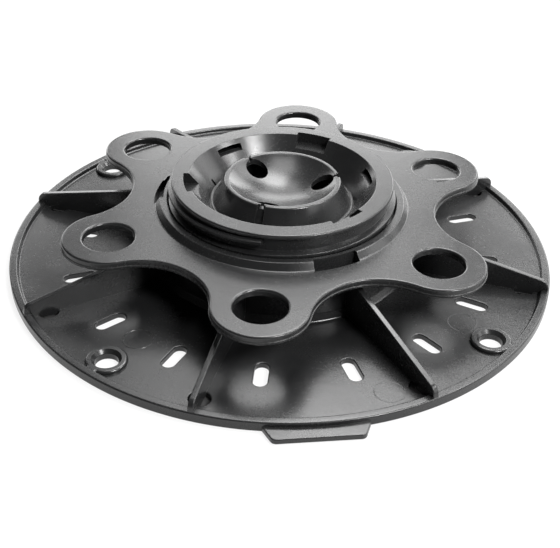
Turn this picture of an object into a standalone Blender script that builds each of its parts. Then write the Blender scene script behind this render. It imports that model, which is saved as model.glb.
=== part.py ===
"""Low adjustable decking pedestal: ribbed base plate, six-lobed adjusting wheel and threaded cup.

The origin is the middle of the base's underside and +Z is up. Turning the wheel
clockwise, seen from above, screws the cup up out of it.
"""

import math

import bmesh
import bpy
from mathutils import Matrix, Vector

MM = 0.001

# Fits between the pieces
RUNNING_GAP = 0.4 * MM
SEAT_GAP = 0.3 * MM
THREAD_FLANK_GAP = 0.3 * MM
EMBED = 0.5 * MM
OVERCUT = 1.0 * MM
AXIS_TOLERANCE = 0.001 * MM

# Base plate
BASE_RADIUS = 100.0 * MM
FLOOR_THICKNESS = 2.0 * MM
RIM_HEIGHT = 3.6 * MM
RIM_WIDTH = 2.8 * MM
RIM_DRAFT = 0.5 * MM
EDGE_BREAK = 0.4 * MM
BASE_SEGMENTS = 88

HUB_WALL = 2.6 * MM
HUB_TOP = 18.4 * MM
HUB_FOOT_WIDTH = 1.4 * MM
HUB_FOOT_HEIGHT = 2.6 * MM

RIB_COUNT = 8
RIB_PHASE = 30.0
RIB_THICKNESS = 2.0 * MM
RIB_TOP_DROP = 0.6 * MM
RIB_RIM_HEIGHT = 7.5 * MM
RIB_NOSE_RADIUS = 3.4 * MM
RIB_NOSE_END = 78.0
RIB_NOSE_STEPS = 3

RIM_HOLE_RADIUS = 3.5 * MM
RIM_HOLE_INSET = 9.0 * MM
RIM_HOLE_SEGMENTS = 16

SLOT_COUNT = 16
SLOT_INSET = 24.4 * MM
SLOT_LENGTH = 11.5 * MM
SLOT_WIDTH = 4.7 * MM
SLOT_END_STEPS = 5

BOSS_COUNT = 4
BOSS_PHASE = 52.5
BOSS_INSET = 9.9 * MM
BOSS_RADIUS = 7.0 * MM
BOSS_DROP = 0.2 * MM
BOSS_NECK_WIDTH = 4.4 * MM
BOSS_CHAMFER = 0.5 * MM
BOSS_STEPS = 22
SCREW_HOLE_RADIUS = 3.9 * MM
COUNTERSINK_RADIUS = 5.0 * MM
COUNTERSINK_DEPTH = 1.3 * MM
SCREW_HOLE_SEGMENTS = 20

TAB_ANGLE = 277.5
TAB_ROOT_WIDTH = 38.0 * MM
TAB_TIP_WIDTH = 29.0 * MM
TAB_REACH = 6.0 * MM
TAB_LOWER = 0.3 * MM
TAB_UPPER = 2.0 * MM

# Thread shared by the wheel and the cup
THREAD_ROOT_OFFSET = 5.0 * MM
THREAD_DEPTH = 2.4 * MM
THREAD_LEAD = 4.8 * MM
THREAD_ROOT_WIDTH = 2.4 * MM
THREAD_CREST_WIDTH = 1.3 * MM
THREAD_TOP_ANGLE = 261.0
THREAD_TOP_DROP = 3.1 * MM
THREAD_END_MARGIN = 0.3 * MM
THREAD_STEP = 12.0

# Adjusting wheel
LOBE_COUNT = 6
LOBE_PHASE = 25.0
LOBE_PITCH_RADIUS = 65.75 * MM
LOBE_RADIUS = 16.3 * MM
VALLEY_PITCH_RADIUS = 80.0 * MM
FINGER_HOLE_RADIUS = 8.9 * MM
WHEEL_THICKNESS = 3.0 * MM
WHEEL_EDGE = 0.45 * MM
WHEEL_LIP_HEIGHT = 1.0 * MM
WHEEL_LIP_WIDTH = 0.25 * MM
LOBE_STEPS = 12
VALLEY_STEPS = 6
FINGER_HOLE_SEGMENTS = 24
WHEEL_SEGMENTS = 60

SLEEVE_WALL = 2.7 * MM
SLEEVE_BOTTOM = 8.0 * MM
COLLAR_RISE = 2.5 * MM
COLLAR_FLARE = 1.6 * MM

WINDOW_COUNT = 3
WINDOW_STEPS = 5
COLLAR_WINDOW_PHASE = 55.0
COLLAR_WINDOW_SPAN = 21.0
COLLAR_WINDOW_SILL = 0.3 * MM
COLLAR_WINDOW_LIP = 0.7 * MM
LUG_SPAN = 24.0
LUG_STEPS = 4

# Threaded cup
CUP_SEGMENTS = 48
CUP_TOP = 32.0 * MM
CUP_RING_OVERHANG = 1.3 * MM
CUP_RING_CHAMFER = 0.7 * MM
CUP_RING_EDGE = 1.1 * MM
CUP_RING_UNDERCUT = 0.7 * MM
CUP_TUBE_WALL = 1.8 * MM
CUP_LID_THICKNESS = 1.8 * MM

SOCKET_RADIUS = 34.0 * MM
SOCKET_WALL = 1.5 * MM
TROUGH_DEPTH = 10.5 * MM
TROUGH_THICKNESS = 1.8 * MM
TROUGH_FILLET = 0.9 * MM

SEAT_SPHERE_RADIUS = 23.8 * MM
SEAT_EDGE_DROP = 1.2945 * MM
SEAT_WALL = 1.8 * MM
SEAT_RIM_WIDTH = 1.4 * MM
SEAT_RIM_DROP = 0.8 * MM
SEAT_RIM_ROUND = 1.3 * MM
SEAT_ARC_STEPS = 5
SEAT_UNDERSIDE_STEPS = 3
SKIRT_TOP_RADIUS = 21.5 * MM
SKIRT_TOP_DROP = 1.1 * MM
SKIRT_FLARE = 3.7 * MM

KEYHOLE_COUNT = 3
KEYHOLE_PHASE = 6.0
KEYHOLE_RADIUS = 4.3 * MM
KEYHOLE_INSET = 4.7 * MM
KEYHOLE_NOTCH_WIDTH = 2.3 * MM
KEYHOLE_STEPS = 18

RECESS_PHASE = 70.0
RECESS_SPAN = 24.0
RECESS_DEPTH = 2.6 * MM
RECESS_HEIGHT = 5.8 * MM
SOCKET_WINDOW_PHASE = 9.0
SOCKET_WINDOW_SPAN = 19.0
SOCKET_WINDOW_HEIGHT = 3.6 * MM

DRAIN_SLIT_ANGLE = 152.6
DRAIN_SLIT_INSET = 3.1 * MM
DRAIN_SLIT_LEAN = 122.0
DRAIN_SLIT_LENGTH = 6.5 * MM
DRAIN_SLIT_WIDTH = 1.2 * MM

# Places that follow from the sizes above
BOSS_PITCH_RADIUS = BASE_RADIUS - BOSS_INSET
SLOT_PITCH_RADIUS = BASE_RADIUS - SLOT_INSET
RIM_HOLE_PITCH_RADIUS = BASE_RADIUS - RIM_HOLE_INSET
THREAD_ROOT_RADIUS = SOCKET_RADIUS + THREAD_ROOT_OFFSET
THREAD_CREST_RADIUS = THREAD_ROOT_RADIUS + THREAD_DEPTH
SLEEVE_BORE = THREAD_CREST_RADIUS + RUNNING_GAP
SLEEVE_RADIUS = SLEEVE_BORE + SLEEVE_WALL
HUB_BORE = SLEEVE_RADIUS + RUNNING_GAP
HUB_RADIUS = HUB_BORE + HUB_WALL
WHEEL_BOTTOM = HUB_TOP + SEAT_GAP
WHEEL_TOP = WHEEL_BOTTOM + WHEEL_THICKNESS
COLLAR_TOP = WHEEL_TOP + COLLAR_RISE
CUP_BOTTOM = FLOOR_THICKNESS + SEAT_GAP
CUP_TUBE_BORE = THREAD_ROOT_RADIUS - CUP_TUBE_WALL
BOSS_HEIGHT = RIM_HEIGHT - BOSS_DROP
TROUGH_Z = CUP_TOP - TROUGH_DEPTH
SEAT_RIM_Z = CUP_TOP - SEAT_RIM_DROP
SEAT_RIM_RADIUS = SKIRT_TOP_RADIUS - SEAT_RIM_WIDTH
SEAT_EDGE_RADIUS = SEAT_RIM_RADIUS - SEAT_RIM_ROUND
SEAT_CENTRE_Z = CUP_TOP - SEAT_EDGE_DROP + math.sqrt(SEAT_SPHERE_RADIUS ** 2 - SEAT_EDGE_RADIUS ** 2)
SKIRT_FOOT_RADIUS = SKIRT_TOP_RADIUS + SKIRT_FLARE
CUP_RING_RADIUS = THREAD_ROOT_RADIUS + CUP_RING_OVERHANG
KEYHOLE_PITCH_RADIUS = SEAT_RIM_RADIUS - KEYHOLE_INSET
DRAIN_SLIT_PITCH_RADIUS = SKIRT_FOOT_RADIUS + DRAIN_SLIT_INSET
RECESS_SILL_Z = CUP_TOP - RECESS_HEIGHT
THREAD_TOP_Z = CUP_TOP - THREAD_TOP_DROP
THREAD_BOTTOM_Z = CUP_BOTTOM + THREAD_ROOT_WIDTH / 2 + THREAD_END_MARGIN


def polar(radius, degrees, z=0.0):
    """Point at a radius and an angle about +Z."""
    angle = math.radians(degrees)
    return Vector((radius * math.cos(angle), radius * math.sin(angle), z))


def angles(count, phase):
    """Angles of a pattern that repeats evenly round the axis."""
    return [phase + 360.0 * index / count for index in range(count)]


def arc(centre, radius, start, end, steps):
    """Points along an arc in a plane, both ends included."""
    points = []
    for index in range(steps + 1):
        angle = math.radians(start + (end - start) * index / steps)
        points.append((centre[0] + radius * math.cos(angle), centre[1] + radius * math.sin(angle)))
    return points


def material(name, colour, roughness):
    """Moulded plastic."""
    made = bpy.data.materials.new(name)
    made.use_nodes = True
    shader = made.node_tree.nodes["Principled BSDF"]
    shader.inputs["Base Color"].default_value = (*colour, 1.0)
    shader.inputs["Roughness"].default_value = roughness
    shader.inputs["Metallic"].default_value = 0.0
    return made


def add_object(name, bm, finish=None):
    """Turn a bmesh into an object with its faces pointing out."""
    bmesh.ops.recalc_face_normals(bm, faces=bm.faces)
    mesh = bpy.data.meshes.new(name)
    bm.to_mesh(mesh)
    bm.free()
    made = bpy.data.objects.new(name, mesh)
    bpy.context.scene.collection.objects.link(made)
    if finish:
        mesh.materials.append(finish)
    return made


def guide(name, bm):
    """A shape that another object cuts with or takes in, left out of renders."""
    made = add_object(name, bm)
    made.hide_render = True
    made.display_type = "WIRE"
    return made


def combine(target, operation, tool):
    """Join a guide to an object, or cut it away."""
    modifier = target.modifiers.new(tool.name, "BOOLEAN")
    modifier.operation = operation
    modifier.solver = "EXACT"
    modifier.object = tool


def turn(bm, profile, segments):
    """Revolve a closed outline of (radius, height) pairs about Z. A point on the axis stays one vertex.

    The first section stands half a step round, which keeps the edges off the lines of the hole patterns.
    """
    rings = []
    for radius, z in profile:
        copies = segments if radius > AXIS_TOLERANCE else 1
        turned = [polar(radius, 360.0 * (index + 0.5) / segments, z) for index in range(copies)]
        rings.append([bm.verts.new(point) for point in turned])
    for before, after in zip(rings, rings[1:] + rings[:1]):
        for index in range(segments):
            following = (index + 1) % segments
            corners = [before[index % len(before)], before[following % len(before)],
                       after[following % len(after)], after[index % len(after)]]
            corners = list(dict.fromkeys(corners))
            if len(corners) > 2:
                bm.faces.new(corners)
    return bm


def prism(bm, outline, low, high):
    """Extrude a closed outline of (x, y) pairs between two heights, and return its new vertices."""
    start = [bm.verts.new((x, y, low)) for x, y in outline]
    face = bm.faces.new(start)
    grown = bmesh.ops.extrude_face_region(bm, geom=[face])
    top = [item for item in grown["geom"] if isinstance(item, bmesh.types.BMVert)]
    bmesh.ops.translate(bm, verts=top, vec=(0, 0, high - low))
    return start + top


def place(bm, verts, radius, degrees):
    """Move a shape made about the origin out along +X, then swing it round Z."""
    bmesh.ops.translate(bm, verts=verts, vec=(radius, 0, 0))
    bmesh.ops.rotate(bm, verts=verts, cent=(0, 0, 0), matrix=Matrix.Rotation(math.radians(degrees), 3, "Z"))


def chamfer_top(bm, verts, width):
    """Break the upper edge of a prism."""
    top = max(vert.co.z for vert in verts)
    chosen = set(vert for vert in verts if abs(vert.co.z - top) < EMBED * 0.01)
    edges = [edge for edge in bm.edges if edge.verts[0] in chosen and edge.verts[1] in chosen]
    bmesh.ops.bevel(bm, geom=edges, offset=width, segments=1, affect="EDGES")


def round_outline(radius, segments):
    """Circle about the origin."""
    return arc((0, 0), radius, 0.0, 360.0 * (1 - 1 / segments), segments - 1)


def sector_outline(inner, outer, centre, span, steps):
    """Piece of a ring between two radii."""
    low = centre - span / 2
    high = centre + span / 2
    return arc((0, 0), outer, low, high, steps) + arc((0, 0), inner, high, low, steps)


def skin(bm, sections):
    """Skin a run of sections, each a list of as many points, and close both ends."""
    rows = [[bm.verts.new(point) for point in section] for section in sections]
    count = len(rows[0])
    for before, after in zip(rows, rows[1:]):
        for index in range(count):
            following = (index + 1) % count
            bm.faces.new((before[index], before[following], after[following], after[index]))
    bm.faces.new(rows[0][::-1])
    bm.faces.new(rows[-1])


def ridge_height(degrees):
    """Mid height of the cup's thread at an unwound angle, which is 0 at its upper end."""
    return THREAD_TOP_Z + THREAD_LEAD * degrees / 360.0


# Base plate

def base_profile():
    """Section of the floor, rim and hub tube, from the middle of the underside outwards."""
    rim_inside = BASE_RADIUS - RIM_WIDTH
    return [
        (0.0, 0.0),
        (BASE_RADIUS - EDGE_BREAK, 0.0),
        (BASE_RADIUS, EDGE_BREAK),
        (BASE_RADIUS, RIM_HEIGHT - EDGE_BREAK),
        (BASE_RADIUS - EDGE_BREAK, RIM_HEIGHT),
        (rim_inside, RIM_HEIGHT),
        (rim_inside - RIM_DRAFT, FLOOR_THICKNESS),
        (HUB_RADIUS + HUB_FOOT_WIDTH, FLOOR_THICKNESS),
        (HUB_RADIUS, FLOOR_THICKNESS + HUB_FOOT_HEIGHT),
        (HUB_RADIUS, HUB_TOP - EDGE_BREAK),
        (HUB_RADIUS - EDGE_BREAK, HUB_TOP),
        (HUB_BORE + EDGE_BREAK, HUB_TOP),
        (HUB_BORE, HUB_TOP - EDGE_BREAK),
        (HUB_BORE, FLOOR_THICKNESS),
        (0.0, FLOOR_THICKNESS),
    ]


def rib_outline():
    """Side view of one rib as (radius, height): it falls straight to the rim and ends in a round nose."""
    inner = HUB_RADIUS - HUB_WALL / 2
    outer = BASE_RADIUS - EDGE_BREAK / 2
    nose_centre = (outer - RIB_NOSE_RADIUS, RIB_RIM_HEIGHT - RIB_NOSE_RADIUS)
    nose = arc(nose_centre, RIB_NOSE_RADIUS, 0.0, RIB_NOSE_END, RIB_NOSE_STEPS)
    foot = FLOOR_THICKNESS / 2
    top = HUB_TOP - RIB_TOP_DROP
    return [(inner, foot), (outer, foot)] + nose + [(HUB_RADIUS, top), (inner, top)]


def add_ribs(bm):
    half = RIB_THICKNESS / 2
    for degrees in angles(RIB_COUNT, RIB_PHASE):
        verts = prism(bm, rib_outline(), -half, half)
        bmesh.ops.rotate(bm, verts=verts, cent=(0, 0, 0), matrix=Matrix.Rotation(math.radians(90), 3, "X"))
        place(bm, verts, 0.0, degrees)


def boss_outline():
    """Round boss with a neck that runs out into the rim."""
    half = BOSS_NECK_WIDTH / 2
    opening = math.degrees(math.asin(half / BOSS_RADIUS))
    neck_end = BASE_RADIUS - RIM_WIDTH / 2 - BOSS_PITCH_RADIUS
    round_part = arc((0, 0), BOSS_RADIUS, opening, 360 - opening, BOSS_STEPS)
    return round_part + [(neck_end, -half), (neck_end, half)]


def add_bosses(bm):
    for degrees in angles(BOSS_COUNT, BOSS_PHASE):
        verts = prism(bm, boss_outline(), FLOOR_THICKNESS / 2, BOSS_HEIGHT)
        place(bm, verts, BOSS_PITCH_RADIUS, degrees)
        chamfer_top(bm, verts, BOSS_CHAMFER)


def add_tab(bm):
    """Flat marking tab on the rim, left bare."""
    root = BASE_RADIUS - RIM_WIDTH
    tip = BASE_RADIUS + TAB_REACH
    shoulder = tip - (TAB_ROOT_WIDTH - TAB_TIP_WIDTH) / 2
    half_root = TAB_ROOT_WIDTH / 2
    half_tip = TAB_TIP_WIDTH / 2
    outline = [(root, -half_root), (shoulder, -half_root), (tip, -half_tip),
               (tip, half_tip), (shoulder, half_root), (root, half_root)]
    verts = prism(bm, outline, TAB_LOWER, TAB_UPPER)
    place(bm, verts, 0.0, TAB_ANGLE)


def slot_outline():
    """Round-ended slot that points along the radius."""
    radius = SLOT_WIDTH / 2
    reach = SLOT_LENGTH / 2 - radius
    outer_end = arc((reach, 0), radius, -90, 90, SLOT_END_STEPS)
    return outer_end + arc((-reach, 0), radius, 90, 270, SLOT_END_STEPS)


def screw_hole_profile():
    seat = BOSS_HEIGHT - COUNTERSINK_DEPTH
    return [(0.0, -OVERCUT), (SCREW_HOLE_RADIUS, -OVERCUT), (SCREW_HOLE_RADIUS, seat),
            (COUNTERSINK_RADIUS, BOSS_HEIGHT), (COUNTERSINK_RADIUS, BOSS_HEIGHT + OVERCUT),
            (0.0, BOSS_HEIGHT + OVERCUT)]


def cut_slots(bm):
    for degrees in angles(SLOT_COUNT, RIB_PHASE + 180.0 / SLOT_COUNT):
        verts = prism(bm, slot_outline(), -OVERCUT, FLOOR_THICKNESS + OVERCUT)
        place(bm, verts, SLOT_PITCH_RADIUS, degrees)


def add_turned(bm, profile, segments, radius, degrees):
    """Revolve a profile in its own mesh, then put it in place in this one."""
    part = bmesh.new()
    turn(part, profile, segments)
    part.transform(Matrix.Rotation(math.radians(degrees), 4, "Z") @ Matrix.Translation((radius, 0, 0)))
    mesh = bpy.data.meshes.new("turned")
    part.to_mesh(mesh)
    part.free()
    bm.from_mesh(mesh)
    bpy.data.meshes.remove(mesh)


def make_base_plate(finish):
    body = bmesh.new()
    base = add_object("base_plate", turn(body, base_profile(), BASE_SEGMENTS), finish)

    rim_holes = bmesh.new()
    for degrees in angles(RIB_COUNT, RIB_PHASE):
        hole = round_outline(RIM_HOLE_RADIUS, RIM_HOLE_SEGMENTS)
        verts = prism(rim_holes, hole, -OVERCUT, FLOOR_THICKNESS + OVERCUT)
        place(rim_holes, verts, RIM_HOLE_PITCH_RADIUS, degrees)
    combine(base, "DIFFERENCE", guide("rim_hole_cutter", rim_holes))

    raised = bmesh.new()
    add_ribs(raised)
    add_bosses(raised)
    add_tab(raised)
    combine(base, "UNION", guide("rib_and_boss_guide", raised))

    openings = bmesh.new()
    cut_slots(openings)
    for degrees in angles(BOSS_COUNT, BOSS_PHASE):
        add_turned(openings, screw_hole_profile(), SCREW_HOLE_SEGMENTS, BOSS_PITCH_RADIUS, degrees)
    combine(base, "DIFFERENCE", guide("slot_and_screw_hole_cutter", openings))
    return base


# Adjusting wheel

def wheel_outline(grow):
    """Six convex lobes joined by concave valleys, each tangent to the next, grown outwards by a distance."""
    lobe = Vector((LOBE_PITCH_RADIUS, 0.0))
    half_pitch = 180.0 / LOBE_COUNT
    valley = polar(VALLEY_PITCH_RADIUS, half_pitch).to_2d()
    gap = valley - lobe
    lobe_end = math.degrees(math.atan2(gap.y, gap.x))
    valley_radius = gap.length - LOBE_RADIUS - grow
    valley_start = lobe_end + 180.0
    valley_end = 360.0 + 2 * half_pitch - valley_start
    outline = []
    for degrees in angles(LOBE_COUNT, LOBE_PHASE):
        centre = polar(LOBE_PITCH_RADIUS, degrees).to_2d()
        outline += arc(centre, LOBE_RADIUS + grow, degrees - lobe_end, degrees + lobe_end, LOBE_STEPS)
        hollow = polar(VALLEY_PITCH_RADIUS, degrees + half_pitch).to_2d()
        inside = arc(hollow, valley_radius, degrees + valley_start, degrees + valley_end, VALLEY_STEPS)
        outline += inside[1:-1]
    return outline


def wheel_plate_sections():
    """Outlines of the plate from its underside up: a lip below the parting line, then the upper wall."""
    parting = WHEEL_BOTTOM + WHEEL_LIP_HEIGHT
    levels = [(WHEEL_LIP_WIDTH - WHEEL_EDGE, WHEEL_BOTTOM), (WHEEL_LIP_WIDTH, WHEEL_BOTTOM + WHEEL_EDGE),
              (WHEEL_LIP_WIDTH, parting - WHEEL_LIP_WIDTH), (0.0, parting),
              (0.0, WHEEL_TOP - WHEEL_EDGE), (-WHEEL_EDGE, WHEEL_TOP)]
    return [[(x, y, z) for x, y in wheel_outline(grow)] for grow, z in levels]


def sleeve_profile():
    """Section of the collar above the lobes and the sleeve that turns inside the hub."""
    flare = SLEEVE_RADIUS + COLLAR_FLARE
    return [
        (SLEEVE_BORE + EDGE_BREAK, SLEEVE_BOTTOM),
        (SLEEVE_RADIUS - EDGE_BREAK, SLEEVE_BOTTOM),
        (SLEEVE_RADIUS, SLEEVE_BOTTOM + EDGE_BREAK),
        (SLEEVE_RADIUS, WHEEL_BOTTOM + EMBED),
        (flare, WHEEL_TOP - EMBED),
        (flare, WHEEL_TOP + EDGE_BREAK / 2),
        (SLEEVE_RADIUS + EDGE_BREAK, COLLAR_TOP - EDGE_BREAK),
        (SLEEVE_RADIUS, COLLAR_TOP),
        (SLEEVE_BORE + EDGE_BREAK, COLLAR_TOP),
        (SLEEVE_BORE, COLLAR_TOP - EDGE_BREAK),
        (SLEEVE_BORE, SLEEVE_BOTTOM + EDGE_BREAK),
    ]


def finger_hole_profile():
    """Cutter for a finger hole with both of its edges broken."""
    low = WHEEL_BOTTOM - OVERCUT
    high = WHEEL_TOP + OVERCUT
    wide = FINGER_HOLE_RADIUS + WHEEL_EDGE
    return [(0.0, low), (wide, low), (wide, WHEEL_BOTTOM), (FINGER_HOLE_RADIUS, WHEEL_BOTTOM + WHEEL_EDGE),
            (FINGER_HOLE_RADIUS, WHEEL_TOP - WHEEL_EDGE), (wide, WHEEL_TOP), (wide, high), (0.0, high)]


def lug_height(degrees):
    """Mid height of the wheel's thread at an angle: half a lead below the cup's thread."""
    unwound = degrees - THREAD_TOP_ANGLE
    below = ridge_height(unwound) - THREAD_LEAD / 2
    highest = WHEEL_TOP - lug_base_half() - THREAD_LEAD * LUG_SPAN / 720.0
    turns = math.ceil((below - highest) / THREAD_LEAD)
    return below - turns * THREAD_LEAD


def lug_base_half():
    """Half the axial width of a lug where it leaves the sleeve."""
    return (THREAD_LEAD - THREAD_CREST_WIDTH) / 2 - THREAD_FLANK_GAP


def lug_section(degrees, height):
    """Section of a lug at an angle: it fills the cup's groove, less the flank gap."""
    tip_radius = THREAD_ROOT_RADIUS + RUNNING_GAP
    tip_half = (THREAD_LEAD - THREAD_ROOT_WIDTH) / 2 - THREAD_FLANK_GAP
    base_half = lug_base_half()
    base_radius = SLEEVE_BORE + EMBED
    shape = [(tip_radius, -tip_half), (base_radius, -base_half),
             (base_radius, base_half), (tip_radius, tip_half)]
    return [polar(radius, degrees, height + offset) for radius, offset in shape]


def add_lugs(bm):
    for centre in angles(WINDOW_COUNT, COLLAR_WINDOW_PHASE):
        middle = lug_height(centre)
        sections = []
        for index in range(LUG_STEPS + 1):
            offset = LUG_SPAN * (index / LUG_STEPS - 0.5)
            sections.append(lug_section(centre + offset, middle + THREAD_LEAD * offset / 360.0))
        skin(bm, sections)


def make_wheel(finish):
    plate = bmesh.new()
    skin(plate, wheel_plate_sections())
    wheel = add_object("adjusting_wheel", plate, finish)

    holes = bmesh.new()
    middle = round_outline(SLEEVE_RADIUS - SLEEVE_WALL / 2, WHEEL_SEGMENTS)
    prism(holes, middle, WHEEL_BOTTOM - OVERCUT, WHEEL_TOP + OVERCUT)
    for degrees in angles(LOBE_COUNT, LOBE_PHASE):
        add_turned(holes, finger_hole_profile(), FINGER_HOLE_SEGMENTS, LOBE_PITCH_RADIUS, degrees)
    combine(wheel, "DIFFERENCE", guide("wheel_hole_cutter", holes))

    sleeve = bmesh.new()
    combine(wheel, "UNION", guide("sleeve_guide", turn(sleeve, sleeve_profile(), WHEEL_SEGMENTS)))

    windows = bmesh.new()
    for centre in angles(WINDOW_COUNT, COLLAR_WINDOW_PHASE):
        outline = sector_outline(SLEEVE_BORE - OVERCUT, SLEEVE_RADIUS + COLLAR_FLARE + OVERCUT, centre,
                                 COLLAR_WINDOW_SPAN, WINDOW_STEPS)
        prism(windows, outline, WHEEL_TOP + COLLAR_WINDOW_SILL, COLLAR_TOP - COLLAR_WINDOW_LIP)
    combine(wheel, "DIFFERENCE", guide("collar_window_cutter", windows))

    lugs = bmesh.new()
    add_lugs(lugs)
    combine(wheel, "UNION", guide("thread_lug_guide", lugs))
    return wheel


# Threaded cup

def sphere_arc(radius, start_radius, steps):
    """Arc of the ball seat from the axis out to a radius, as (radius, height) pairs."""
    end = math.degrees(math.asin(start_radius / radius))
    lowest = -90.0
    return arc((0.0, SEAT_CENTRE_Z), radius, lowest, lowest + end, steps)


def cup_profile():
    """Section of the cup: ball seat, skirt, trough, socket wall, top ring and threaded tube."""
    seat = sphere_arc(SEAT_SPHERE_RADIUS, SEAT_EDGE_RADIUS, SEAT_ARC_STEPS)
    half_round = SEAT_RIM_ROUND / 2
    rim = [(SEAT_RIM_RADIUS - half_round, SEAT_RIM_Z - half_round / 3), (SEAT_RIM_RADIUS, SEAT_RIM_Z),
           (SEAT_RIM_RADIUS + half_round, SEAT_RIM_Z - half_round / 3)]
    skirt = [(SKIRT_TOP_RADIUS, SEAT_RIM_Z - SKIRT_TOP_DROP),
             (SKIRT_FOOT_RADIUS - TROUGH_FILLET / 3, TROUGH_Z + TROUGH_FILLET),
             (SKIRT_FOOT_RADIUS + TROUGH_FILLET / 2, TROUGH_Z)]
    socket = [(SOCKET_RADIUS - TROUGH_FILLET, TROUGH_Z), (SOCKET_RADIUS, TROUGH_Z + TROUGH_FILLET),
              (SOCKET_RADIUS, CUP_TOP - EDGE_BREAK), (SOCKET_RADIUS + EDGE_BREAK, CUP_TOP)]
    ring = [(CUP_RING_RADIUS - CUP_RING_CHAMFER, CUP_TOP), (CUP_RING_RADIUS, CUP_TOP - CUP_RING_CHAMFER),
            (CUP_RING_RADIUS, CUP_TOP - CUP_RING_EDGE),
            (THREAD_ROOT_RADIUS, CUP_TOP - CUP_RING_EDGE - CUP_RING_UNDERCUT)]
    tube = [(THREAD_ROOT_RADIUS, CUP_BOTTOM + EDGE_BREAK), (THREAD_ROOT_RADIUS - EDGE_BREAK, CUP_BOTTOM),
            (CUP_TUBE_BORE, CUP_BOTTOM), (CUP_TUBE_BORE, CUP_TOP - CUP_LID_THICKNESS)]
    underside = TROUGH_Z - TROUGH_THICKNESS
    back = SOCKET_RADIUS + SOCKET_WALL
    hollow = [(back, CUP_TOP - CUP_LID_THICKNESS), (back, underside + EDGE_BREAK),
              (back - EDGE_BREAK, underside)]
    lean = (SKIRT_FOOT_RADIUS - SKIRT_TOP_RADIUS) / (SEAT_RIM_Z - SKIRT_TOP_DROP - TROUGH_Z)
    slanted_wall = SEAT_WALL * math.sqrt(1 + lean * lean)
    outer_seat = SEAT_SPHERE_RADIUS + SEAT_WALL
    apex_z = SEAT_RIM_Z - SKIRT_TOP_DROP - SEAT_WALL
    apex_radius = math.sqrt(outer_seat ** 2 - (SEAT_CENTRE_Z - apex_z) ** 2)
    inside_top = SKIRT_TOP_RADIUS + lean * SEAT_WALL - slanted_wall
    inside_foot = SKIRT_FOOT_RADIUS + lean * TROUGH_THICKNESS - slanted_wall
    skirt_inside = [(inside_foot, underside), (inside_top, apex_z)]
    under_seat = sphere_arc(outer_seat, apex_radius, SEAT_UNDERSIDE_STEPS)[::-1]
    inside = hollow + skirt_inside + under_seat
    return seat + rim + skirt + socket + ring + tube + inside


def thread_section(degrees, height):
    """Section of the cup's thread at an angle, sunk into the tube wall."""
    root_half = THREAD_ROOT_WIDTH / 2
    crest_half = THREAD_CREST_WIDTH / 2
    slope = (root_half - crest_half) / THREAD_DEPTH
    sunk_half = root_half + slope * EMBED
    sunk_radius = THREAD_ROOT_RADIUS - EMBED
    shape = [(sunk_radius, -sunk_half), (THREAD_CREST_RADIUS, -crest_half),
             (THREAD_CREST_RADIUS, crest_half), (sunk_radius, sunk_half)]
    return [polar(radius, degrees, height + offset) for radius, offset in shape]


def thread_sections():
    """The cup's thread, wound down from its upper end to just above the tube's lower edge."""
    drop = THREAD_TOP_Z - THREAD_BOTTOM_Z
    steps = int(360.0 * drop / THREAD_LEAD / THREAD_STEP)
    return [thread_section(THREAD_TOP_ANGLE - index * THREAD_STEP, ridge_height(-index * THREAD_STEP))
            for index in range(steps + 1)]


def keyhole_outline():
    """Round hole in the ball seat with a notch that runs out through the rim and skirt."""
    half = KEYHOLE_NOTCH_WIDTH / 2
    opening = math.degrees(math.asin(half / KEYHOLE_RADIUS))
    reach = SKIRT_FOOT_RADIUS + TROUGH_FILLET / 2 + EMBED - KEYHOLE_PITCH_RADIUS
    hole = arc((0, 0), KEYHOLE_RADIUS, opening, 360 - opening, KEYHOLE_STEPS)
    return hole + [(reach, -half), (reach, half)]


def slit_outline():
    """Narrow slit through the trough's floor, leaning away from the radius."""
    along = polar(DRAIN_SLIT_LENGTH / 2, DRAIN_SLIT_LEAN).to_2d()
    across = polar(DRAIN_SLIT_WIDTH / 2, DRAIN_SLIT_LEAN + 90.0).to_2d()
    return [along + across, along - across, -along - across, -along + across]


def make_cup(finish):
    body = bmesh.new()
    cup = add_object("threaded_cup", turn(body, cup_profile(), CUP_SEGMENTS), finish)

    openings = bmesh.new()
    for centre in angles(WINDOW_COUNT, RECESS_PHASE):
        outline = sector_outline(SOCKET_RADIUS - OVERCUT, SOCKET_RADIUS + RECESS_DEPTH, centre,
                                 RECESS_SPAN, WINDOW_STEPS)
        prism(openings, outline, RECESS_SILL_Z, CUP_TOP + OVERCUT)
    for centre in angles(WINDOW_COUNT, SOCKET_WINDOW_PHASE):
        outline = sector_outline(SOCKET_RADIUS - OVERCUT, SOCKET_RADIUS + SOCKET_WALL + EMBED, centre,
                                 SOCKET_WINDOW_SPAN, WINDOW_STEPS)
        prism(openings, outline, RECESS_SILL_Z, RECESS_SILL_Z + SOCKET_WINDOW_HEIGHT)
    for degrees in angles(KEYHOLE_COUNT, KEYHOLE_PHASE):
        verts = prism(openings, keyhole_outline(), TROUGH_Z + TROUGH_FILLET / 2, CUP_TOP + OVERCUT)
        place(openings, verts, KEYHOLE_PITCH_RADIUS, degrees)
    slit = prism(openings, slit_outline(), TROUGH_Z - TROUGH_THICKNESS - OVERCUT, TROUGH_Z + OVERCUT)
    place(openings, slit, DRAIN_SLIT_PITCH_RADIUS, DRAIN_SLIT_ANGLE)
    combine(cup, "DIFFERENCE", guide("socket_and_seat_cutter", openings))

    thread = bmesh.new()
    skin(thread, thread_sections())
    combine(cup, "UNION", guide("thread_guide", thread))
    return cup


def shade(objects):
    """Smooth the turned and rounded faces and keep real edges sharp."""
    for made in objects:
        made.data.shade_smooth()
        made.data.set_sharp_from_angle(angle=math.radians(30))


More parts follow.
